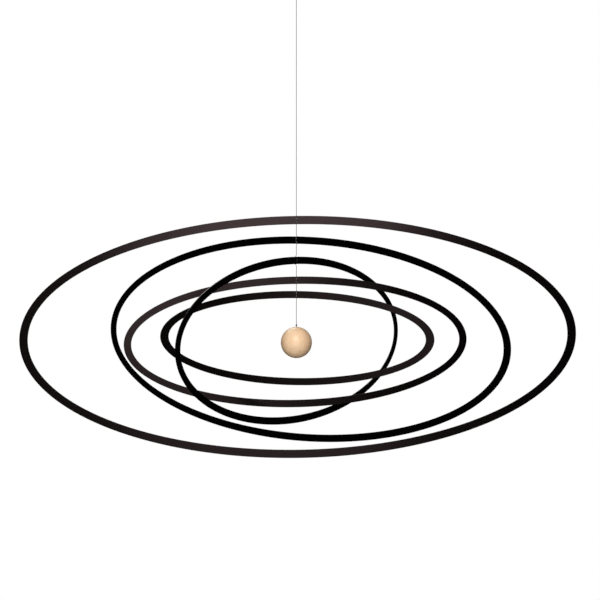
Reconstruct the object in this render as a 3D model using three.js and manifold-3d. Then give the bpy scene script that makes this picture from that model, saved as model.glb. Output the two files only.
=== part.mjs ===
// Hanging mobile: five thin elliptical rings, one inside the next, round a turned wooden ball,
// all on one nylon thread that ends in a tied loop. Each ring hangs in its own plane.
// Millimetres, +Z up. The origin is the inside top of the loop, where a ceiling hook holds it.
// +X runs along the outermost ring, and -Y is the front.
import * as THREE from 'three';
import { mergeVertices } from 'three/addons/utils/BufferGeometryUtils.js';
import Module from 'manifold-3d';

const wasm = await Module();
wasm.setup();

// Rings, cut from thin sheet
const SHEET = 1.5; // thickness of the sheet
const OUTER_WIDTH = 801.6; // width of the outermost ring
const OUTER_HEIGHT = 349.8; // its height, on the line of the thread
const RING_SIDES = 120; // straight sides of each cut outline

// Width of each ring's band at the ring's ends and on the thread, from the outermost ring inwards
const BAND_1_ENDS = 12.4;
const BAND_1_THREAD = 12.1;
const BAND_2_ENDS = 11;
const BAND_2_THREAD = 10.7;
const BAND_3_ENDS = 10.8;
const BAND_3_THREAD = 10.7;
const BAND_4_ENDS = 10.8;
const BAND_4_THREAD = 10.8;
const BAND_5_ENDS = 12.4;
const BAND_5_THREAD = 10.5;

// Free room between each ring and the next one in: at the ends, over its top and under it
const ROOM_1_ENDS = 37.9;
const ROOM_1_TOP = 17.3;
const ROOM_1_BOTTOM = 13.3;
const ROOM_2_ENDS = 43.4;
const ROOM_2_TOP = 18.4;
const ROOM_2_BOTTOM = 15.1;
const ROOM_3_ENDS = 37.7;
const ROOM_3_TOP = 17.8;
const ROOM_3_BOTTOM = 12;
const ROOM_4_ENDS = 38.5;
const ROOM_4_TOP = 10;
const ROOM_4_BOTTOM = 21.1;

// The rings, each with its turn about the thread and the slight tilt in its own plane, in degrees
const RINGS = [
  { endBand: BAND_1_ENDS, threadBand: BAND_1_THREAD, turn: 0, tilt: 1.1 },
  { endBand: BAND_2_ENDS, threadBand: BAND_2_THREAD, turn: -33.4, tilt: 0.8 },
  { endBand: BAND_3_ENDS, threadBand: BAND_3_THREAD, turn: 59.4, tilt: -2 },
  { endBand: BAND_4_ENDS, threadBand: BAND_4_THREAD, turn: 6.6, tilt: 0.65 },
  { endBand: BAND_5_ENDS, threadBand: BAND_5_THREAD, turn: -3.8, tilt: -0.25 },
];
const ROOMS = [
  { end: ROOM_1_ENDS, top: ROOM_1_TOP, bottom: ROOM_1_BOTTOM },
  { end: ROOM_2_ENDS, top: ROOM_2_TOP, bottom: ROOM_2_BOTTOM },
  { end: ROOM_3_ENDS, top: ROOM_3_TOP, bottom: ROOM_3_BOTTOM },
  { end: ROOM_4_ENDS, top: ROOM_4_TOP, bottom: ROOM_4_BOTTOM },
];

// Thread, and the two upright slots in each ring that it is stitched through
const THREAD = 0.8; // diameter
const THREAD_SIDES = 8;
const FIT_GAP = 0.3; // between the thread and what it lies against, and where it parts
const SLOT_SIDE_ROOM = 0.1; // free on each side of the thread in a slot
const SLOT_END_ROOM = 0.5; // free over and under the thread in a slot, for its bends
const SLOT_SIDES = 6; // straight sides of each round end of a slot
const STITCH = 4.4; // from slot to slot, centred in the band
const BEND = 2 * THREAD; // bend radius of the thread at a slot
const LEAD = 3; // height in which the thread crosses from its line to the back of the sheet
const SWIVEL_RISE = 4; // height over a ring, or over the ball's knot, where the turn is taken

// Hanging end of the thread: from the topmost ring to the loop's knot, then the loop
const HANG = 316.5;
const LOOP_HEIGHT = 30; // inside
const LOOP_WIDTH = 11; // inside, at its round top
const LOOP_STEPS = 28;
const KNOT_RADIUS = 1.5 * THREAD; // a knot is as big as the turns of thread in it
const KNOT_HEIGHT = 4 * THREAD;
const KNOT_SIDES = 12;
const KNOT_RINGS = 6;

// Ball
const BALL = 45; // diameter
const BALL_DROP = 41.3; // from the innermost ring's inner edge to the top of the ball
const BALL_DRILL = 12; // depth of the hole that the thread is glued in
const KNOT_LIFT = 0.5; // from the ball to the underside of the knot over it
const BALL_SIDES = 36;
const BALL_RINGS = 16;

const material = (color, roughness) => new THREE.MeshStandardMaterial({ color, roughness, metalness: 0 });
const stained = material(0x1b1617, 0.42);
const beech = material(0xe2c6a2, 0.55);
const nylon = material(0x2c2c2f, 0.4);

const rad = THREE.MathUtils.degToRad;
const FACE = SHEET / 2 + FIT_GAP + THREAD / 2; // from the sheet's middle to thread that lies along it

// A named piece
function piece(name, geometry, finish) {
  const mesh = new THREE.Mesh(geometry, finish.clone());
  mesh.name = name;
  return mesh;
}

// Points of an ellipse, counter-clockwise
function ellipse(halfWidth, halfHeight, sides) {
  return Array.from({ length: sides }, (_, i) => {
    const angle = (2 * Math.PI * i) / sides;
    return new THREE.Vector2(halfWidth * Math.cos(angle), halfHeight * Math.sin(angle));
  });
}

// Points of an upright slot with round ends, counter-clockwise
function slot(centre) {
  const radius = THREAD / 2 + SLOT_SIDE_ROOM;
  const straight = SLOT_END_ROOM - SLOT_SIDE_ROOM;
  return [0, 1].flatMap((half) => Array.from({ length: SLOT_SIDES + 1 }, (_, i) => {
    const angle = Math.PI * (half + i / SLOT_SIDES);
    const end = half ? -straight : straight;
    return new THREE.Vector2(radius * Math.cos(angle), radius * Math.sin(angle) + end).add(centre);
  }));
}

// Half height of an ellipse that is tilted and still measures reach from its centre straight up
function halfHeightFor(halfWidth, reach, tilt) {
  return Math.cos(tilt) / Math.sqrt(1 / reach ** 2 - (Math.sin(tilt) / halfWidth) ** 2);
}

// Sizes and places of all rings, each one worked out from the ring around it
function nest() {
  let halfWidth = OUTER_WIDTH / 2;
  let top = -(LOOP_HEIGHT + KNOT_HEIGHT + HANG);
  let bottom = top - OUTER_HEIGHT;
  return RINGS.map(({ endBand, threadBand, turn, tilt }, i) => {
    const reach = (top - bottom) / 2;
    const ring = {
      top,
      bottom,
      centre: (top + bottom) / 2,
      band: threadBand,
      reach,
      turn: rad(turn),
      tilt: rad(tilt),
      halfWidth,
      halfHeight: halfHeightFor(halfWidth, reach, rad(tilt)),
      innerHalfWidth: halfWidth - endBand,
      innerHalfHeight: halfHeightFor(halfWidth - endBand, reach - threadBand, rad(tilt)),
    };
    if (i < ROOMS.length) {
      halfWidth = ring.innerHalfWidth - ROOMS[i].end;
      top -= threadBand + ROOMS[i].top;
      bottom += threadBand + ROOMS[i].bottom;
    }
    return ring;
  });
}

// A flat ring with its two stitch slots, drawn in XY and centred on its own thickness
function ringSolid(ring) {
  const shape = new THREE.Shape(ellipse(ring.halfWidth, ring.halfHeight, RING_SIDES));
  const inside = ellipse(ring.innerHalfWidth, ring.innerHalfHeight, RING_SIDES);
  shape.holes.push(new THREE.Path(inside.reverse()));
  const middle = new THREE.Vector2();
  for (const side of [1, -1]) {
    const centre = new THREE.Vector2(0, ring.reach - ring.band / 2 + (side * STITCH) / 2);
    const outline = slot(centre).map((point) => point.rotateAround(middle, -ring.tilt));
    shape.holes.push(new THREE.Path(outline.reverse()));
  }
  const solid = new THREE.ExtrudeGeometry(shape, { depth: SHEET, bevelEnabled: false });
  return solid.translate(0, 0, -SHEET / 2);
}

// A tube of thread with a step at each of the route's points
function threadAlong(points) {
  const route = new THREE.CatmullRomCurve3(points);
  route.getUtoTmapping = (u) => u;
  const section = new THREE.Shape(ellipse(THREAD / 2, THREAD / 2, THREAD_SIDES));
  return new THREE.ExtrudeGeometry(section, { steps: points.length - 1, extrudePath: route });
}

// Bend of the thread from a run along the sheet into the slot at height z, whose middle it heads for.
// side is the face that it bends at (-1 back, 1 front), and rise is 1 above the slot, -1 below it.
function bend(side, z, rise) {
  const whole = Math.acos(Math.max(0, 1 - FACE / BEND));
  return [0, 0.25, 0.5, 0.75].map((share) => ({
    out: side * (FACE - BEND * (1 - Math.cos(share * whole))),
    z: z + rise * BEND * (Math.sin(whole) - Math.sin(share * whole)),
  }));
}

// Thread of one ring, from the turn over it to the turn over the next piece: down the back,
// out through the upper slot, down the front, in through the lower slot and down again.
// Heights are from the ring's centre, and out is towards the front.
function stitchSolid(ring, end) {
  const top = ring.reach;
  const bandFoot = ring.reach - ring.band;
  const upper = ring.reach - ring.band / 2 + STITCH / 2;
  const lower = upper - STITCH;
  const route = [
    { out: 0, z: top + SWIVEL_RISE - FIT_GAP },
    { out: 0, z: top + LEAD },
    { out: -FACE / 2, z: top + LEAD / 2 },
    { out: -FACE, z: top },
    ...bend(-1, upper, 1),
    ...bend(1, upper, -1).reverse(),
    ...bend(1, lower, 1),
    ...bend(-1, lower, -1).reverse(),
    { out: -FACE, z: bandFoot },
    { out: -FACE / 2, z: bandFoot - LEAD / 2 },
    { out: 0, z: bandFoot - LEAD },
    { out: 0, z: end - ring.centre },
  ];
  return threadAlong(route.map(({ out, z }) => new THREE.Vector3(0, -out, z)));
}

// Profile of a knot round the thread, from its foot to its head, as (radius, height)
function knotProfile(foot) {
  return Array.from({ length: KNOT_RINGS + 1 }, (_, i) => {
    const angle = (Math.PI * i) / KNOT_RINGS;
    const radius = THREAD / 2 + (KNOT_RADIUS - THREAD / 2) * Math.sin(angle);
    return new THREE.Vector2(radius, foot + (KNOT_HEIGHT / 2) * (1 - Math.cos(angle)));
  });
}

// A solid turned about the Z axis from a profile that starts and ends on it
function turned(profile, sides) {
  return new THREE.LatheGeometry(profile, sides).rotateX(Math.PI / 2);
}

// Closed solid for a boolean join
function solidOf(geometry) {
  const plain = geometry.clone();
  plain.deleteAttribute('normal');
  plain.deleteAttribute('uv');
  const merged = mergeVertices(plain, 1e-5);
  return new wasm.Manifold(new wasm.Mesh({
    numProp: 3,
    vertProperties: new Float32Array(merged.attributes.position.array),
    triVerts: new Uint32Array(merged.index.array),
  }));
}

function geometryOf(solid) {
  const mesh = solid.getMesh();
  const geometry = new THREE.BufferGeometry();
  geometry.setAttribute('position', new THREE.BufferAttribute(new Float32Array(mesh.vertProperties), 3));
  geometry.setIndex(new THREE.BufferAttribute(new Uint32Array(mesh.triVerts), 1));
  return geometry;
}

// Tied loop: a drop-shaped round of thread, closed by the knot under it
function loopSolid() {
  const radius = (LOOP_WIDTH + THREAD) / 2;
  const knotFoot = -(LOOP_HEIGHT + KNOT_HEIGHT);
  const knotMiddle = knotFoot + KNOT_HEIGHT / 2;
  const apart = KNOT_RADIUS / 2;
  const points = [new THREE.Vector3(-apart, 0, knotMiddle)];
  for (let degrees = 200; degrees >= -20; degrees -= 20) {
    const x = radius * Math.cos(rad(degrees));
    const z = THREAD / 2 - radius + radius * Math.sin(rad(degrees));
    points.push(new THREE.Vector3(x, 0, z));
  }
  points.push(new THREE.Vector3(apart, 0, knotMiddle));
  const section = new THREE.Shape(ellipse(THREAD / 2, THREAD / 2, THREAD_SIDES));
  const extrudePath = new THREE.CatmullRomCurve3(points);
  const round = new THREE.ExtrudeGeometry(section, { steps: LOOP_STEPS, extrudePath });
  const knot = [new THREE.Vector2(0, knotFoot), ...knotProfile(knotFoot), new THREE.Vector2(0, -LOOP_HEIGHT)];
  return geometryOf(solidOf(round).add(solidOf(turned(knot, KNOT_SIDES))));
}

// Ball with its blind hole, centred on the origin
function ballSolid() {
  const radius = BALL / 2;
  const hole = THREAD / 2 + FIT_GAP;
  const mouth = Math.asin(hole / radius);
  const profile = [new THREE.Vector2(0, -radius)];
  for (let i = 1; i <= BALL_RINGS; i++) {
    const angle = Math.PI + (i / BALL_RINGS) * (mouth - Math.PI);
    profile.push(new THREE.Vector2(radius * Math.sin(angle), radius * Math.cos(angle)));
  }
  profile.push(new THREE.Vector2(hole, radius - BALL_DRILL), new THREE.Vector2(0, radius - BALL_DRILL));
  return turned(profile, BALL_SIDES);
}

// End of the thread in the ball, with the knot over it. Heights are from the ball's centre.
function ballThreadSolid() {
  const foot = BALL / 2 - BALL_DRILL + FIT_GAP;
  const knotFoot = BALL / 2 + KNOT_LIFT;
  const head = knotFoot + KNOT_HEIGHT + SWIVEL_RISE - FIT_GAP;
  const profile = [
    new THREE.Vector2(0, foot),
    new THREE.Vector2(THREAD / 2, foot),
    ...knotProfile(knotFoot),
    new THREE.Vector2(THREAD / 2, head),
    new THREE.Vector2(0, head),
  ];
  return turned(profile, THREAD_SIDES);
}

const rings = nest();
const mobile = new THREE.Group();
mobile.add(piece('hanging_loop', loopSolid(), nylon));

// Straight thread from the loop's knot to the turn over the outermost ring
const hangTop = -(LOOP_HEIGHT + KNOT_HEIGHT + FIT_GAP);
const hangFoot = rings[0].top + SWIVEL_RISE;
const hangRoute = [0, 0.25, 0.5, 0.75, 1].map((share) => (
  new THREE.Vector3(0, 0, hangFoot + share * (hangTop - hangFoot))
));
mobile.add(piece('hanging_thread', threadAlong(hangRoute), nylon));

const ballTop = rings.at(-1).top - rings.at(-1).band - BALL_DROP;
const ballTurn = ballTop + KNOT_LIFT + KNOT_HEIGHT + SWIVEL_RISE;

rings.forEach((ring, i) => {
  const end = i + 1 < rings.length ? rings[i + 1].top + SWIVEL_RISE : ballTurn;
  const hung = new THREE.Group();
  hung.position.z = ring.centre;
  hung.rotation.z = ring.turn;
  const flat = piece(`ring_${i + 1}`, ringSolid(ring), stained);
  flat.rotation.set(Math.PI / 2, 0, ring.tilt);
  hung.add(flat, piece(`ring_${i + 1}_thread`, stitchSolid(ring, end), nylon));
  mobile.add(hung);
});

const ballGroup = new THREE.Group();
ballGroup.position.z = ballTop - BALL / 2;
ballGroup.add(piece('ball', ballSolid(), beech), piece('ball_thread', ballThreadSolid(), nylon));
mobile.add(ballGroup);

export default mobile;
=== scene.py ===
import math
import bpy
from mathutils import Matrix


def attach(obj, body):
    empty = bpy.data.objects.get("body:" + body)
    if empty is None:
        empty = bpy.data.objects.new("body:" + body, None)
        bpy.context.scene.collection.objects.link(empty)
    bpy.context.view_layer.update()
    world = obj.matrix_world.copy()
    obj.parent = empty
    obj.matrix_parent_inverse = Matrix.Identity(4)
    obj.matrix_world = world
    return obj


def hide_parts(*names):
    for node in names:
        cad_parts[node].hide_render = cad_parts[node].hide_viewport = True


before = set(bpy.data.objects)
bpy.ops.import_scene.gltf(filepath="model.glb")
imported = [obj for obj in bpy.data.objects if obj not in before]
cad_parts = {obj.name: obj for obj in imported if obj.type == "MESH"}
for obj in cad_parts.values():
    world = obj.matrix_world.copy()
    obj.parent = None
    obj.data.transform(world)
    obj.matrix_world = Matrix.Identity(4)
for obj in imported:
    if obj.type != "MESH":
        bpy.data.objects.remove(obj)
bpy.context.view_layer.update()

# Hanging mobile: five thin elliptical rings, one inside the next, round a turned wooden ball,
# all on one twisted thread that ends in a tied loop. Metres, +Z up. The origin is the inside
# top of the loop, +X runs along the outermost ring, and -Y is the front.
from types import SimpleNamespace

import bpy
import numpy as np
from mathutils import Vector

MM = 0.001

# Rings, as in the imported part, outermost first: the band's width at the ends and on the thread
# in millimetres, the turn about the thread and the tilt in the ring's own plane in degrees
SHEET = 1.5 * MM
OUTER_WIDTH = 801.6 * MM
OUTER_HEIGHT = 349.8 * MM
RINGS = (
    (12.4, 12.1, 0, 1.1),
    (11, 10.7, -33.4, 0.8),
    (10.8, 10.7, 59.4, -2),
    (10.8, 10.8, 6.6, 0.65),
    (12.4, 10.5, -3.8, -0.25),
)
# Free room between each ring and the next one in, in millimetres: at the ends, over its top
# and under it
ROOMS = ((37.9, 17.3, 13.3), (43.4, 18.4, 15.1), (37.7, 17.8, 12), (38.5, 10, 21.1))

# Sheen of each ring's stain, and how far its thin sheet has warped out of its plane, in degrees
GLOSS = (0.5, 0.5, 0.5, 0.31, 0.165)
LEAN = (0, 0, 0, 4.3, 0)

# Thread, its stitch through each ring, and its knots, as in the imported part
THREAD = 0.8 * MM
FIT_GAP = 0.3 * MM
SLOT_WIDTH = THREAD + 0.2 * MM
SLOT_HEIGHT = THREAD + 1 * MM
STITCH = 4.4 * MM
BEND = 2 * THREAD
LEAD = 3 * MM
SWIVEL_RISE = 4 * MM
FACE = SHEET / 2 + FIT_GAP + THREAD / 2
HANG = 316.5 * MM
LOOP_HEIGHT = 30 * MM
LOOP_WIDTH = 11 * MM
KNOT_RADIUS = 1.5 * THREAD
KNOT_HEIGHT = 4 * THREAD

# Ball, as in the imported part
BALL = 45 * MM
BALL_DROP = 41.3 * MM
BALL_DRILL = 12 * MM
KNOT_LIFT = 0.5 * MM

# Finer forms of the rings
SANDED = 0.05 * MM  # taken off each cut outline
ARRIS = 0.2 * MM  # radius that sanding leaves on an edge
ARRIS_HOLD = 0.1 * MM  # flat strip beside each rounded edge
SLOT_FLARE = 0.35 * MM  # by which a stitch hole opens at the faces
RING_CREASE = math.radians(40)  # sharpest bend that is still shaded as one round surface
RING_STEPS = 540
ARRIS_STEPS = 3
SLOT_STEPS = 32

# Finer forms of the thread and its knots
TWIST = 2.4 * MM  # length in which the plies turn once round each other
PLIES = 3
PLY_POINTS = 6
PLY_GROOVE = 0.2  # depth of the groove between plies, as a share of the thread's radius
PLY_CROWN = 0.6  # power that rounds the crown of a ply
THREAD_STEP = 0.2 * MM
CURVE_STEPS = 24  # steps on a curve between two of its corners
CLOSING = 0.12 * MM  # by which each stretch of thread closes the gap at a turn
KNOT_WRAPS = 3
KNOT_START = 0.35  # radius at which the wraps start, as a share of the one they swell to
KNOT_STEPS = 90
TAIL = 1.4 * MM  # trimmed end of the thread at a knot
TAIL_WAY = (0.36, 0.8, 0.48)
TAIL_BOW = 0.25 * MM
TAIL_HEIGHT = 0.6 * KNOT_HEIGHT

# Finer forms of the ball
BALL_MOUTH = 0.25 * MM  # rounding at the drilled hole's mouth
BALL_CREASE = math.radians(50)
BALL_STEPS = 128
MOUTH_STEPS = 7

# Camera: 2.77 m from the thread, a little above the rings
EYE = (0.0879, -2.7656, -0.2683)
LOOK_DOWN = math.radians(4.18)
LOOK_LEFT = math.radians(1.713)
LENS = 115.86

UP = Vector((0, 0, 1))


def make_camera():
    data = bpy.data.cameras.new("camera")
    data.lens = LENS
    data.sensor_width = 36
    camera = bpy.data.objects.new("camera", data)
    camera.location = EYE
    camera.rotation_euler = (math.pi / 2 - LOOK_DOWN, 0, LOOK_LEFT)
    bpy.context.scene.collection.objects.link(camera)
    bpy.context.scene.camera = camera


make_camera()


# Sizes and places

def half_height_for(half_width, reach, tilt):
    """Half height of an ellipse that is tilted and still measures reach from its centre straight up."""
    return math.cos(tilt) / math.sqrt(1 / reach ** 2 - (math.sin(tilt) / half_width) ** 2)


def nest():
    """Sizes and places of all rings, each one worked out from the ring around it."""
    half_width = OUTER_WIDTH / 2
    top = -(LOOP_HEIGHT + KNOT_HEIGHT + HANG)
    bottom = top - OUTER_HEIGHT
    rings = []
    for (end_band, band, turn, tilt), room, gloss, lean in zip(RINGS, (*ROOMS, None), GLOSS, LEAN):
        tilt = math.radians(tilt)
        reach = (top - bottom) / 2
        inner = half_width - end_band * MM
        rings.append(SimpleNamespace(
            top=top,
            centre=(top + bottom) / 2,
            band=band * MM,
            gloss=gloss,
            lean=math.radians(lean),
            reach=reach,
            turn=math.radians(turn),
            tilt=tilt,
            outer=np.array((half_width, half_height_for(half_width, reach, tilt))),
            inner=np.array((inner, half_height_for(inner, reach - band * MM, tilt))),
        ))
        if room:
            end, above, under = room
            half_width = inner - end * MM
            top -= (band + above) * MM
            bottom += (band + under) * MM
    return rings


RING_NEST = nest()
INNERMOST = RING_NEST[-1]
BALL_TOP = INNERMOST.top - INNERMOST.band - BALL_DROP
BALL_CENTRE = BALL_TOP - BALL / 2
BALL_TURN = BALL_TOP + KNOT_LIFT + KNOT_HEIGHT + SWIVEL_RISE
LOOP_KNOT_FOOT = -(LOOP_HEIGHT + KNOT_HEIGHT)


# Shader nodes, written as expressions

class Socket:
    """Output of a shader node. Arithmetic on it adds the Math nodes."""

    def __init__(self, finish, socket):
        self.finish, self.socket = finish, socket

    def math(self, operation, *others):
        return self.finish.math(operation, self, *others)

    def __add__(self, other):
        return self.math("ADD", other)

    __radd__ = __add__

    def __sub__(self, other):
        return self.math("SUBTRACT", other)

    def __rsub__(self, other):
        return self.finish.math("SUBTRACT", other, self)

    def __mul__(self, other):
        return self.math("MULTIPLY", other)

    __rmul__ = __mul__

    def __abs__(self):
        return self.math("ABSOLUTE")


class Finish:
    """A material and the nodes that make it."""

    def __init__(self, name):
        self.material = bpy.data.materials.new(name)
        self.material.use_nodes = True
        self.tree = self.material.node_tree

    def add(self, kind, settings=None, inputs=None, output=0):
        """Adds a node of that type: its settings first, then the values or links of its inputs."""
        node = self.tree.nodes.new(kind)
        for name, value in (settings or {}).items():
            setattr(node, name, value)
        self.feed(node, inputs or {})
        return Socket(self, node.outputs[output])

    def feed(self, node, inputs):
        for name, value in inputs.items():
            if isinstance(value, Socket):
                self.tree.links.new(value.socket, node.inputs[name])
            else:
                node.inputs[name].default_value = value

    def math(self, operation, *values):
        return self.add("ShaderNodeMath", {"operation": operation}, dict(enumerate(values)))

    def mapped(self, at, location=(0, 0, 0), rotation=(0, 0, 0), scale=(1, 1, 1)):
        """Coordinates stretched by scale, then turned, then moved."""
        inputs = {"Vector": at, "Location": location, "Rotation": rotation, "Scale": scale}
        return self.add("ShaderNodeMapping", None, inputs)

    def part(self, vector, axis):
        return self.add("ShaderNodeSeparateXYZ", None, {"Vector": vector}, axis)

    def length(self, vector):
        settings = {"operation": "LENGTH"}
        return self.add("ShaderNodeVectorMath", settings, {0: vector}, "Value")

    def noise(self, at, detail=2.0, roughness=0.5):
        """Noise with one lump to each unit of the coordinates."""
        inputs = {"Vector": at, "Scale": 1.0, "Detail": detail, "Roughness": roughness}
        return self.add("ShaderNodeTexNoise", None, inputs)

    def dots(self, at):
        """Distance to the nearest of points strewn one to each unit of the coordinates."""
        return self.add("ShaderNodeTexVoronoi", None, {"Vector": at, "Scale": 1.0}, "Distance")

    def step(self, value, low, high, start=0.0, end=1.0):
        """Smooth step of value between low and high, from start to end."""
        settings = {"interpolation_type": "SMOOTHSTEP"}
        inputs = {"Value": value, "From Min": low, "From Max": high, "To Min": start, "To Max": end}
        return self.add("ShaderNodeMapRange", settings, inputs)

    def mix(self, share, first, second):
        """Colour that goes from first to second with share."""
        first, second = [c if isinstance(c, Socket) else (*c, 1) for c in (first, second)]
        inputs = {0: share, 6: first, 7: second}
        return self.add("ShaderNodeMix", {"data_type": "RGBA"}, inputs, 2)

    def relief(self, height, depth, over=None):
        """Normal of a relief that is depth deep, in metres, over another relief."""
        inputs = {"Height": height, "Distance": depth}
        if over:
            inputs["Normal"] = over
        return self.add("ShaderNodeBump", None, inputs)

    def shade(self, inputs):
        """Feeds the surface shader, and gives back the finished material."""
        self.feed(self.tree.nodes["Principled BSDF"], inputs)
        return self.material


# Colours of the finishes, linear
FACE_DEEP = (0.0002, 0.0002, 0.0002)
FACE_THIN = (0.0006, 0.0005, 0.0005)
FACE_FIBRE = (0.0012, 0.0009, 0.0009)
EDGE_BROWN = (0.0016, 0.0012, 0.0011)
EDGE_CORE = (0.0005, 0.0004, 0.0004)
SHEEN = (1.0, 0.70, 0.72)
WOOD_PALE = (0.86, 0.61, 0.39)
WOOD_WARM = (0.82, 0.55, 0.335)
WOOD_LATE = (0.70, 0.44, 0.24)
WOOD_FLECK = (0.50, 0.30, 0.15)
THREAD_DARK = (0.012, 0.012, 0.0135)
# Painted highlight on the thread's proud filaments
THREAD_PAINTED_HIGHLIGHT = (0.034, 0.034, 0.037)
FLOOR_GLOW = (0.7, 0.7, 0.7)
WHITE = (1, 1, 1)

# Patterns on the sheet, in lumps to a metre along the ring, through its sheet and up
SHEET_FIBRES = (60, 1500, 1500)
SHEET_CLOUDS = (14, 30, 40)
SHEET_WAVES = (6, 6, 6)
WARP = 1.2 * MM  # height of the waves
SHEET_GRAIN = 0.012 * MM
CORE = 0.12 * MM  # half the thickness of the darker line in the cut edges
CORE_BLUR = 0.08 * MM

# Patterns in the wood, in lumps to a metre across the grain, across it again and along it
WOOD_FIBRES = (1400, 1400, 70)
WOOD_FLECKS = (1000, 1000, 240)
WOOD_CLOUDS = (60, 60, 25)
WOOD_WOBBLE = (45, 45, 12)
GRAIN_LEAN = (0.16, -0.22, 0.4)  # turns from the thread's line, in radians
HEART = (48 * MM, 30 * MM, 0)  # of the growth rings, from the ball's centre
YEAR = 2.3 * MM  # width of a growth ring
YEAR_WOBBLE = 2.2 * MM
PORES = 0.006 * MM

# Patterns on the thread, in lumps to a ply and to a millimetre
THREAD_STRANDS = (9, 0.7, 1)
THREAD_TUFTS = (2, 2.5, 1)
STRAND_RELIEF = 0.03 * MM


def stained_sheet(name, ring):
    """Thin sheet stained black: fine fibres along the ring, a slight warp that gloss shows, and
    duller cut edges, a shade browner, in which the core of the sheet shows as a darker line. The
    warp is a slope across the whole ring with shallow waves on it."""
    finish = Finish(name)
    place = finish.add("ShaderNodeTexCoord", output="Object")
    sheet = finish.mapped(place, rotation=(0, 0, -ring.turn))
    depth = abs(finish.part(sheet, 1))
    cut = 1 - finish.step(depth, SHEET / 2 - 0.8 * ARRIS, SHEET / 2 - 0.1 * ARRIS)
    core = 1 - finish.step(depth, CORE, CORE + CORE_BLUR)
    fibres = finish.noise(finish.mapped(sheet, scale=SHEET_FIBRES), 3.0, 0.6)
    cloud = finish.noise(finish.mapped(sheet, scale=SHEET_CLOUDS), 2.0)
    waves = finish.noise(finish.mapped(sheet, scale=SHEET_WAVES), 1.0)
    stain = finish.mix(finish.step(cloud, 0.3, 0.7), FACE_DEEP, FACE_THIN)
    face = finish.mix(finish.step(fibres, 0.35, 0.75, 0.0, 0.6), stain, FACE_FIBRE)
    edge = finish.mix(core, EDGE_BROWN, EDGE_CORE)
    edge = finish.mix(finish.step(fibres, 0.3, 0.8, 0.0, 0.5), edge, FACE_DEEP)
    warp = finish.part(sheet, 0) * math.tan(ring.lean) + waves * WARP
    grain = finish.relief(fibres, SHEET_GRAIN, finish.relief(warp, 1))
    return finish.shade({
        "Base Color": finish.mix(cut, face, edge),
        "Roughness": finish.step(fibres, 0.3, 0.7, 0.155, 0.21) + cut * 0.1,
        "Normal": grain,
        "Specular Tint": (*SHEEN, 1),
        "Specular IOR Level": ring.gloss,
    })


def turned_wood(name):
    """Pale turned wood, waxed: growth rings as cylinders about a heart beside the ball, fine
    fibres and short darker flecks along the grain, which leans a little from the thread."""
    finish = Finish(name)
    place = finish.add("ShaderNodeTexCoord", output="Object")
    centred = finish.mapped(place, location=(0, 0, -BALL_CENTRE))
    grain = finish.mapped(centred, rotation=GRAIN_LEAN)
    wobble = finish.noise(finish.mapped(grain, scale=WOOD_WOBBLE), 2.0)
    heart = finish.length(finish.mapped(grain, location=HEART, scale=(1, 1, 0)))
    years = (heart + wobble * YEAR_WOBBLE) * (1 / YEAR)
    late = finish.step(years.math("FRACT"), 0.35, 0.92)
    fibres = finish.noise(finish.mapped(grain, scale=WOOD_FIBRES), 3.0, 0.6)
    fleck = 1 - finish.step(finish.dots(finish.mapped(grain, scale=WOOD_FLECKS)), 0.14, 0.3)
    cloud = finish.noise(finish.mapped(grain, scale=WOOD_CLOUDS), 2.0)
    wood = finish.mix(finish.step(cloud, 0.3, 0.7), WOOD_PALE, WOOD_WARM)
    wood = finish.mix(late * 0.45, wood, WOOD_LATE)
    wood = finish.mix(finish.step(fibres, 0.45, 0.8, 0.0, 0.35), wood, WOOD_LATE)
    wood = finish.mix(fleck * 0.3, wood, WOOD_FLECK)
    return finish.shade({
        "Base Color": wood,
        "Roughness": finish.step(fibres, 0.3, 0.8, 0.33, 0.45) + fleck * 0.12,
        "Normal": finish.relief(fibres - fleck * 0.6, PORES),
        "Coat Weight": 0.3,
        "Coat Roughness": 0.25,
    })


def spun_nylon(name):
    """Dark twisted thread: each ply has filaments along it, painted lighter where they lie proud as a
    painted highlight, and darker between them as painted shade. The UV map counts plies round the
    thread and millimetres along it."""
    finish = Finish(name)
    around = finish.add("ShaderNodeUVMap", {"uv_map": "uv"})
    strands = finish.noise(finish.mapped(around, scale=THREAD_STRANDS), 2.0, 0.6)
    tufts = finish.noise(finish.mapped(around, scale=THREAD_TUFTS), 2.0)
    # Paler where the strand pattern is high, which is where the relief is raised: painted highlight on
    # the proud filaments, painted shade between them
    colour = finish.mix(finish.step(strands, 0.35, 0.7), THREAD_DARK, THREAD_PAINTED_HIGHLIGHT)
    return finish.shade({
        "Base Color": finish.mix(finish.step(tufts, 0.4, 0.75, 0.0, 0.5), colour, THREAD_DARK),
        "Roughness": finish.step(strands, 0.3, 0.7, 0.42, 0.6),
        "Normal": finish.relief(strands, STRAND_RELIEF),
    })


# Meshes

def grid_faces(rows, columns, rows_close=False):
    """Quads of a grid whose columns close round, and whose rows may too."""
    row = np.arange(rows if rows_close else rows - 1)[:, None]
    column = np.arange(columns)[None, :]
    ahead, beside = (row + 1) % rows, (column + 1) % columns
    quads = (row * columns + column, row * columns + beside,
             ahead * columns + beside, ahead * columns + column)
    return np.stack(quads, axis=-1).reshape(-1, 4).tolist()


def mesh_of(name, shells):
    """One mesh from shells, each of points, faces and a UV for each point."""
    points, faces, uvs = [], [], []
    first = 0
    for shell in shells:
        faces += [[first + i for i in face] for face in shell.faces]
        points.append(shell.points)
        uvs.append(shell.uv)
        first += len(shell.points)
    mesh = bpy.data.meshes.new(name)
    mesh.from_pydata(np.vstack(points), [], faces)
    corners = np.empty(len(mesh.loops), dtype=np.int32)
    mesh.loops.foreach_get("vertex_index", corners)
    mesh.uv_layers.new(name="uv").data.foreach_set("uv", np.vstack(uvs)[corners].ravel())
    mesh.shade_smooth()
    return mesh


def shell_of(points, faces, uv=None):
    if uv is None:
        uv = np.zeros((len(points), 2))
    return SimpleNamespace(points=points, faces=faces, uv=uv)


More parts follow.
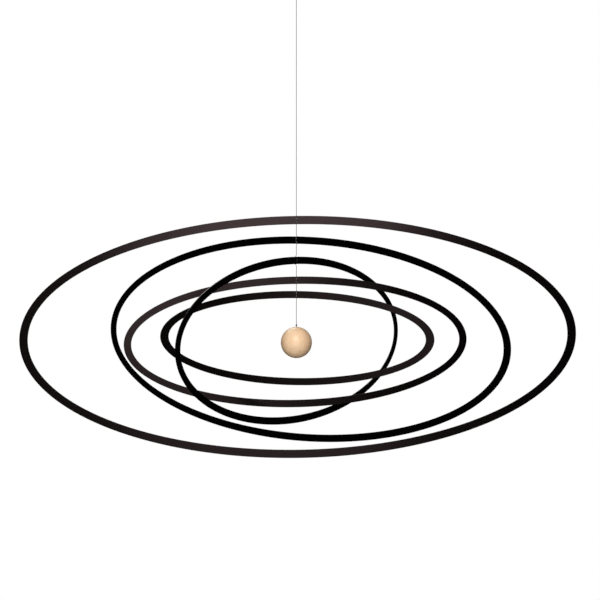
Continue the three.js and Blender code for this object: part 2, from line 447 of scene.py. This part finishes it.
def piece(name, mesh, material, body, node):
    """Object that takes the place of a node of the frame."""
    mesh.materials.clear()
    mesh.materials.append(material)
    made = bpy.data.objects.new(name, mesh)
    bpy.context.scene.collection.objects.link(made)
    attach(made, body)
    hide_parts(node)
    return made


# Thread

def route_through(corners, step):
    """Centripetal Catmull-Rom curve through the corners, cut at even steps of its length.

    Each point comes from three rounds of linear steps between neighbouring corners, timed by
    the square root of the distance between corners.
    """
    corners = np.asarray(corners, dtype=float)
    knots = np.vstack([2 * corners[0] - corners[1], corners, 2 * corners[-1] - corners[-2]])
    times = np.r_[0, np.cumsum(np.linalg.norm(np.diff(knots, axis=0), axis=1) ** 0.5)]
    fine = []
    for i in range(1, len(knots) - 2):
        p, at = knots[i - 1:i + 3], times[i - 1:i + 3]
        t = np.linspace(at[1], at[2], CURVE_STEPS, endpoint=False)[:, None]

        def between(first, second, start, end):
            return ((at[end] - t) * first + (t - at[start]) * second) / (at[end] - at[start])

        a = [between(p[k], p[k + 1], k, k + 1) for k in range(3)]
        b = [between(a[k], a[k + 1], k, k + 2) for k in range(2)]
        fine.append(between(b[0], b[1], 1, 2))
    fine = np.vstack([*fine, corners[-1:]])
    length = np.r_[0, np.cumsum(np.linalg.norm(np.diff(fine, axis=0), axis=1))]
    even = np.linspace(0, length[-1], round(length[-1] / step) + 1)
    return np.column_stack([np.interp(even, length, fine[:, k]) for k in range(3)])


def spun(route, side, crown):
    """Three-ply thread along a route, and the direction that its first ply's crown ends in.

    At length s along the route and angle a round it, a point lies r(a) from the route in the
    direction a + b + 2 pi s / TWIST, counted from side, where b is the angle of crown, which is
    where the first ply's crown starts. r(a) is THREAD / 2 times
    1 - PLY_GROOVE (1 - |cos(PLIES a / 2)| ** PLY_CROWN), so it is THREAD / 2 on each ply's crown.
    """
    length = np.r_[0, np.cumsum(np.linalg.norm(np.diff(route, axis=0), axis=1))]
    ahead = np.gradient(route, length, axis=0)
    ahead /= np.linalg.norm(ahead, axis=1, keepdims=True)
    first = side - ahead * (ahead * side).sum(axis=1, keepdims=True)
    first /= np.linalg.norm(first, axis=1, keepdims=True)
    second = np.cross(ahead, first)
    start = math.atan2(crown @ second[0], crown @ first[0])
    count = PLIES * PLY_POINTS
    around = 2 * math.pi * np.arange(count) / count
    radius = THREAD / 2 * (1 - PLY_GROOVE * (1 - np.abs(np.cos(PLIES * around / 2)) ** PLY_CROWN))
    turned = start + 2 * math.pi * length[:, None] / TWIST
    angle = (around + turned)[..., None]
    spread = np.cos(angle) * first[:, None] + np.sin(angle) * second[:, None]
    points = route[:, None] + radius[:, None] * spread
    plies = np.broadcast_to(around * PLIES / (2 * math.pi), angle.shape[:2])
    along = np.broadcast_to(length[:, None] / MM, angle.shape[:2])
    faces = grid_faces(len(route), count)
    ring = np.arange(count)
    faces += [ring[::-1].tolist(), (ring + (len(route) - 1) * count).tolist()]
    uv = np.stack([plies, along], axis=-1).reshape(-1, 2)
    end = math.cos(turned[-1, 0]) * first[-1] + math.sin(turned[-1, 0]) * second[-1]
    return shell_of(points.reshape(-1, 3), faces, uv), end


def knot(foot):
    """Barrel knot round the thread's line: KNOT_WRAPS turns of the thread side by side, whose
    radius swells from the line and shrinks back to it over half a turn, and its trimmed end."""
    share = np.linspace(0, 1, KNOT_STEPS)
    angle = 2 * math.pi * KNOT_WRAPS * share
    swell = np.clip(np.minimum(share, 1 - share) * 2 * KNOT_WRAPS, 0, 1)
    swell = KNOT_START + (1 - KNOT_START) * swell * swell * (3 - 2 * swell)
    radius = (KNOT_RADIUS - THREAD / 2) * swell
    out = np.column_stack([np.cos(angle), np.sin(angle), np.zeros(KNOT_STEPS)])
    height = foot + THREAD / 2 + (KNOT_HEIGHT - THREAD) * share
    wraps, _ = spun(radius[:, None] * out + height[:, None] * UP, out, out[0])
    way = np.array(TAIL_WAY)
    middle = np.array((0, 0, foot + TAIL_HEIGHT))
    bow = np.array((0, 0, TAIL_BOW))
    corners = [middle, middle + way * (KNOT_RADIUS / 2), middle + way * KNOT_RADIUS + bow / 2,
               middle + way * (KNOT_RADIUS + TAIL / 2) + bow, middle + way * (KNOT_RADIUS + TAIL)]
    tail, _ = spun(route_through(corners, THREAD_STEP), np.array((0, 1.0, 0)), out[0])
    return [wraps, tail]


def bend(side, z, rise):
    """Bend of the thread from a run along the sheet into the hole at height z, as distances out
    and heights. side is 1 at the front and -1 at the back, rise 1 above the hole and -1 below."""
    whole = math.acos(max(0, 1 - FACE / BEND))
    return [(side * (FACE - BEND * (1 - math.cos(share * whole))),
             z + rise * BEND * (math.sin(whole) - math.sin(share * whole)))
            for share in (0, 0.25, 0.5, 0.75)]


def stitch_route(ring, end):
    """Route of one ring's thread: down the back, out through the upper hole, down the front, in
    through the lower hole and down to the next turn."""
    foot = ring.reach - ring.band
    upper = ring.reach - ring.band / 2 + STITCH / 2
    lower = upper - STITCH
    corners = [
        (0, ring.reach + SWIVEL_RISE - FIT_GAP + CLOSING),
        (0, ring.reach + LEAD),
        (-FACE / 2, ring.reach + LEAD / 2),
        (-FACE, ring.reach),
        *bend(-1, upper, 1),
        *reversed(bend(1, upper, -1)),
        *bend(1, lower, 1),
        *reversed(bend(-1, lower, -1)),
        (-FACE, foot),
        (-FACE / 2, foot - LEAD / 2),
        (0, foot - LEAD),
        (0, end - ring.centre - CLOSING),
    ]
    out, height = np.array(corners).T
    points = (out * math.sin(ring.turn), -out * math.cos(ring.turn), height + ring.centre)
    return route_through(np.column_stack(points), THREAD_STEP)


def loop_route():
    """Route of the tied loop: from the knot up round an arc of 220 degrees and back to the knot."""
    radius = (LOOP_WIDTH + THREAD) / 2
    middle = LOOP_KNOT_FOOT + KNOT_HEIGHT / 2
    apart = KNOT_RADIUS / 2
    angles = np.radians(np.arange(200, -40, -20))
    arc = np.column_stack([radius * np.cos(angles), np.zeros(len(angles)),
                           THREAD / 2 - radius + radius * np.sin(angles)])
    corners = np.vstack([(-apart, 0, middle), arc, (apart, 0, middle)])
    return route_through(corners, THREAD_STEP)


def make_thread():
    """The whole thread from the tied loop to the ball. The plies run on from each stretch to the
    next one."""
    nylon = spun_nylon("thread")
    crown = np.array((1.0, 0, 0))
    round_loop, _ = spun(loop_route(), np.array((0, 1.0, 0)), crown)
    loop = piece("tied_loop", mesh_of("tied_loop", [round_loop, *knot(LOOP_KNOT_FOOT)]), nylon,
                 "root", "hanging_loop")

    turn_height = RING_NEST[0].top + SWIVEL_RISE
    foot = np.array((0, 0, turn_height - CLOSING))
    head = np.array((0, 0, LOOP_KNOT_FOOT + KNOT_HEIGHT / 2))
    hang = route_through([foot, head], THREAD_STEP)
    shell, _ = spun(hang, np.array((1.0, 0, 0)), crown)
    hung = piece("long_thread", mesh_of("long_thread", [shell]), nylon,
                 "root", "hanging_thread")

    ends = [ring.top + SWIVEL_RISE for ring in RING_NEST[1:]] + [BALL_TURN]
    for i, (ring, end) in enumerate(zip(RING_NEST, ends), 1):
        side = np.array((math.cos(ring.turn), math.sin(ring.turn), 0))
        route = stitch_route(ring, end)
        shell, crown = spun(route, side, crown)
        name = f"stitched_thread_{i}"
        stitched = piece(name, mesh_of(name, [shell]), nylon, f"ring_{i}", f"ring_{i}_thread")

    head = np.array((0, 0, BALL_TURN - FIT_GAP + CLOSING))
    foot = np.array((0, 0, BALL_TOP - BALL_DRILL + FIT_GAP))
    shell, _ = spun(route_through([head, foot], THREAD_STEP), np.array((1.0, 0, 0)), crown)
    piece("knotted_end", mesh_of("knotted_end", [shell, *knot(BALL_TOP + KNOT_LIFT)]), nylon,
          "ball", "ball_thread")


make_thread()


# Rings

def hung_in_place(points, ring):
    """Points given across the ring, up it and out to its front, tilted, turned and hung."""
    across, up, out = points.T
    x = across * math.cos(ring.tilt) - up * math.sin(ring.tilt)
    z = across * math.sin(ring.tilt) + up * math.cos(ring.tilt)
    return np.column_stack([
        x * math.cos(ring.turn) + out * math.sin(ring.turn),
        x * math.sin(ring.turn) - out * math.cos(ring.turn),
        z + ring.centre,
    ])


def spun_by(angle):
    """Matrix that turns rows of points clockwise about Z."""
    return np.array([[math.cos(angle), -math.sin(angle), 0],
                     [math.sin(angle), math.cos(angle), 0],
                     [0, 0, 1]])


def band_section():
    """Section of a ring's band, as the share of the band's width, the distance from there and
    the height over the sheet's middle: a rectangle with a quarter circle at each corner."""
    quarter = np.linspace(0, math.pi / 2, ARRIS_STEPS + 1)
    inset = np.r_[0, ARRIS * (1 - np.cos(quarter)), ARRIS + ARRIS_HOLD]
    level = np.r_[-ARRIS_HOLD, ARRIS * np.sin(quarter), ARRIS] + SHEET / 2 - ARRIS
    share = np.r_[np.zeros(len(inset) + 1), 0.25, 0.5, 0.75, np.ones(len(inset) + 1)]
    inset = np.r_[0, inset, 0, 0, 0, -inset[::-1], 0]
    level = np.r_[0, level, SHEET / 2, SHEET / 2, SHEET / 2, level[::-1], 0]
    back = slice(-2, 0, -1)
    return np.r_[share, share[back]], np.r_[inset, inset[back]], np.r_[level, -level[back]]


def ring_shell(ring):
    """Band between two ellipses: at each angle, the section is laid along the line from the
    inner ellipse's point to the outer one's."""
    angle = 2 * math.pi * np.arange(RING_STEPS) / RING_STEPS
    circle = np.column_stack([np.cos(angle), np.sin(angle)])
    inner = circle * (ring.inner + SANDED)
    across = circle * (ring.outer - SANDED) - inner
    width = np.linalg.norm(across, axis=1, keepdims=True)
    share, inset, level = band_section()
    flat = inner[:, None] + (across / width)[:, None] * (share * width + inset)[..., None]
    points = np.dstack([flat, np.broadcast_to(level, flat.shape[:2])]).reshape(-1, 3)
    return shell_of(hung_in_place(points, ring), grid_faces(RING_STEPS, len(level), True))


def turned(profile, steps):
    """Surface of revolution about Z from a profile of (radius, height), which runs from its lower
    point on the axis to its upper one."""
    angle = 2 * math.pi * np.arange(steps) / steps
    radius, height = np.array(profile[1:-1]).T
    rows = np.stack([radius[:, None] * np.cos(angle), radius[:, None] * np.sin(angle),
                     np.broadcast_to(height[:, None], (len(radius), steps))], axis=-1)
    points = np.vstack([rows.reshape(-1, 3), (0, 0, profile[0][1]), (0, 0, profile[-1][1])])
    foot, head = len(points) - 2, len(points) - 1
    last = (len(radius) - 1) * steps
    faces = grid_faces(len(radius), steps)
    faces += [[foot, (i + 1) % steps, i] for i in range(steps)]
    faces += [[head, last + i, last + (i + 1) % steps] for i in range(steps)]
    return points, faces


def slot_shells(ring):
    """Tools that cut a ring's two stitch holes, which are short upright slots, flared at both
    faces of the sheet: a round tool whose upper half is moved up and whose lower half down."""
    narrow = SLOT_WIDTH / 2
    wide = narrow + SLOT_FLARE
    half = SHEET / 2
    upper = [(0, 2 * half), (wide + half, 2 * half), (wide, half), (narrow, half - SLOT_FLARE)]
    profile = [(r, -z) for r, z in upper] + upper[::-1]
    tool, faces = turned(profile, SLOT_STEPS)
    tool = tool @ spun_by(math.pi / SLOT_STEPS)
    tool[:, 1] += np.sign(tool[:, 1].round(9)) * (SLOT_HEIGHT - SLOT_WIDTH) / 2
    tool = tool @ spun_by(ring.tilt)
    upright = np.array((math.sin(ring.tilt), math.cos(ring.tilt), 0))
    reaches = [ring.reach - ring.band / 2 + side * STITCH / 2 for side in (1, -1)]
    return [shell_of(hung_in_place(tool + upright * reach, ring), faces) for reach in reaches]


def drilled(mesh, tools):
    """The mesh with the tools' volume cut out of it."""
    scene = bpy.context.scene
    body = bpy.data.objects.new("blank", mesh)
    drill = bpy.data.objects.new("drill", tools)
    for made in (body, drill):
        scene.collection.objects.link(made)
    cut = body.modifiers.new("holes", "BOOLEAN")
    cut.operation, cut.solver, cut.object = "DIFFERENCE", "EXACT", drill
    result = bpy.data.meshes.new_from_object(body.evaluated_get(bpy.context.evaluated_depsgraph_get()))
    for made in (body, drill):
        bpy.data.objects.remove(made)
    bpy.data.meshes.remove(mesh)
    bpy.data.meshes.remove(tools)
    return result


def make_rings():
    for i, ring in enumerate(RING_NEST, 1):
        name = f"sheet_ring_{i}"
        mesh = drilled(mesh_of("blank", [ring_shell(ring)]), mesh_of("drill", slot_shells(ring)))
        mesh.name = name
        mesh.shade_smooth()
        mesh.set_sharp_from_angle(angle=RING_CREASE)
        finish = stained_sheet(f"stained_sheet_{i}", ring)
        piece(name, mesh, finish, f"ring_{i}", f"ring_{i}")


make_rings()


# Ball

def make_ball():
    """Ball turned about the thread: an arc from its foot to the drilled hole, a rounded mouth,
    then the hole's wall and its floor."""
    radius = BALL / 2
    hole = THREAD / 2 + FIT_GAP
    lip = math.asin((hole + BALL_MOUTH) / (radius - BALL_MOUTH))
    lip_height = (radius - BALL_MOUTH) * math.cos(lip)
    profile = [(0, -radius)]
    for angle in np.linspace(math.pi, lip, BALL_STEPS // 2)[1:]:
        profile.append((radius * math.sin(angle), radius * math.cos(angle)))
    for angle in np.linspace(lip, -math.pi / 2, MOUTH_STEPS + 1)[1:]:
        profile.append((hole + BALL_MOUTH * (1 + math.sin(angle)),
                        lip_height + BALL_MOUTH * math.cos(angle)))
    profile += [(hole, radius - BALL_DRILL), (0, radius - BALL_DRILL)]
    points, faces = turned(profile, BALL_STEPS)
    mesh = mesh_of("turned_ball", [shell_of(points + (0, 0, BALL_CENTRE), faces)])
    mesh.set_sharp_from_angle(angle=BALL_CREASE)
    piece("turned_ball", mesh, turned_wood("turned_wood"), "ball", "ball")


make_ball()


# Floor, surroundings and lights

FLOOR_REACH = 6
FLOOR_HEIGHT = -2.4
FLOOR_STEPS = 128
FADE = (0.4, 0.97)  # where the floor's glow starts to grow and ends, as shares of its reach
DIM = 0.004  # strength of the surroundings for everything that they light
MIDDLE = (0, 0, BALL_CENTRE)


def make_floor():
    """Round pale floor with a glow of its own, which is seen but lights nothing. The glow grows
    to white towards the rim, so that the floor runs into the surroundings without an edge."""
    angle = 2 * math.pi * np.arange(FLOOR_STEPS) / FLOOR_STEPS
    rim = np.column_stack([FLOOR_REACH * np.cos(angle), FLOOR_REACH * np.sin(angle),
                           np.full(FLOOR_STEPS, FLOOR_HEIGHT)])
    mesh = bpy.data.meshes.new("floor")
    mesh.from_pydata(rim, [], [list(range(FLOOR_STEPS))])
    paint = Finish("pale_floor")
    place = paint.add("ShaderNodeTexCoord", output="Object")
    from_thread = paint.length(paint.mapped(place, scale=(1, 1, 0)))
    far = paint.step(from_thread, FADE[0] * FLOOR_REACH, FADE[1] * FLOOR_REACH)
    mesh.materials.append(paint.shade({
        "Base Color": (0.8, 0.8, 0.8, 1),
        "Roughness": 0.8,
        "Emission Color": paint.mix(far, FLOOR_GLOW, WHITE),
        "Emission Strength": 1.0,
    }))
    floor = bpy.data.objects.new("floor", mesh)
    floor.visible_diffuse = False
    floor.visible_glossy = False
    bpy.context.scene.collection.objects.link(floor)


def softbox(name, place, aim, width, height, radiance, in_gloss=True):
    """Rectangular white lamp at place that faces aim. Its power is 4 times its area times its
    radiance."""
    data = bpy.data.lights.new(name, "AREA")
    data.shape, data.size, data.size_y = "RECTANGLE", width, height
    data.energy = 4 * width * height * radiance
    lamp = bpy.data.objects.new(name, data)
    lamp.location = place
    lamp.rotation_mode = "QUATERNION"
    lamp.rotation_quaternion = (Vector(aim) - Vector(place)).to_track_quat("-Z", "Y")
    lamp.visible_camera = False
    lamp.visible_glossy = in_gloss
    bpy.context.scene.collection.objects.link(lamp)


def make_surroundings():
    """White surroundings that are seen, and nearly dark ones for everything that they light."""
    world = bpy.data.worlds.new("studio")
    bpy.context.scene.world = world
    world.use_nodes = True
    nodes, links = world.node_tree.nodes, world.node_tree.links
    seen = nodes.new("ShaderNodeLightPath")
    strength = nodes.new("ShaderNodeMapRange")
    strength.inputs["To Min"].default_value = DIM
    links.new(seen.outputs["Is Camera Ray"], strength.inputs["Value"])
    links.new(strength.outputs[0], nodes["Background"].inputs["Strength"])
    nodes["Background"].inputs["Color"].default_value = (*WHITE, 1)


def make_lights():
    """Cards in front whose reflection is the rings' sheen, softboxes for the ball, and a card and
    softboxes behind."""
    softbox("front_card", (-0.16, -2.8, -0.4), (-0.16, 0, -0.4), 0.74, 0.9, 1.27)
    softbox("low_front_card", (-0.16, -2.8, -1.1), (-0.16, 0, -1.1), 0.74, 0.5, 0.44)
    softbox("side_card", (-1.0, -2.8, -0.8), (-1.0, 0, -0.8), 0.8, 1.2, 0.07)
    softbox("front_softbox", (-0.1, -2.6, -0.1), MIDDLE, 2.4, 2.0, 2.45, in_gloss=False)
    softbox("low_softbox", (-0.1, -2.0, -1.9), MIDDLE, 2.6, 1.6, 0.85, in_gloss=False)
    softbox("key_softbox", (-0.1, -2.2, 1.1), MIDDLE, 1.0, 0.9, 8.5)
    softbox("ceiling_softbox", (0, -0.3, 1.3), MIDDLE, 2.2, 2.2, 0.7)
    softbox("back_softbox", (-0.75, 1.75, 1.3), MIDDLE, 1.6, 1.4, 2.0)
    softbox("back_card", (0.1, 2.8, -0.9), (0.1, 0, -0.9), 2.4, 0.7, 0.9)
    softbox("back_fill_softbox", (0.5, 2.6, 0.1), MIDDLE, 2.2, 1.8, 1.6, in_gloss=False)


make_floor()
make_surroundings()
make_lights()
bpy.context.scene.view_settings.view_transform = "Standard"
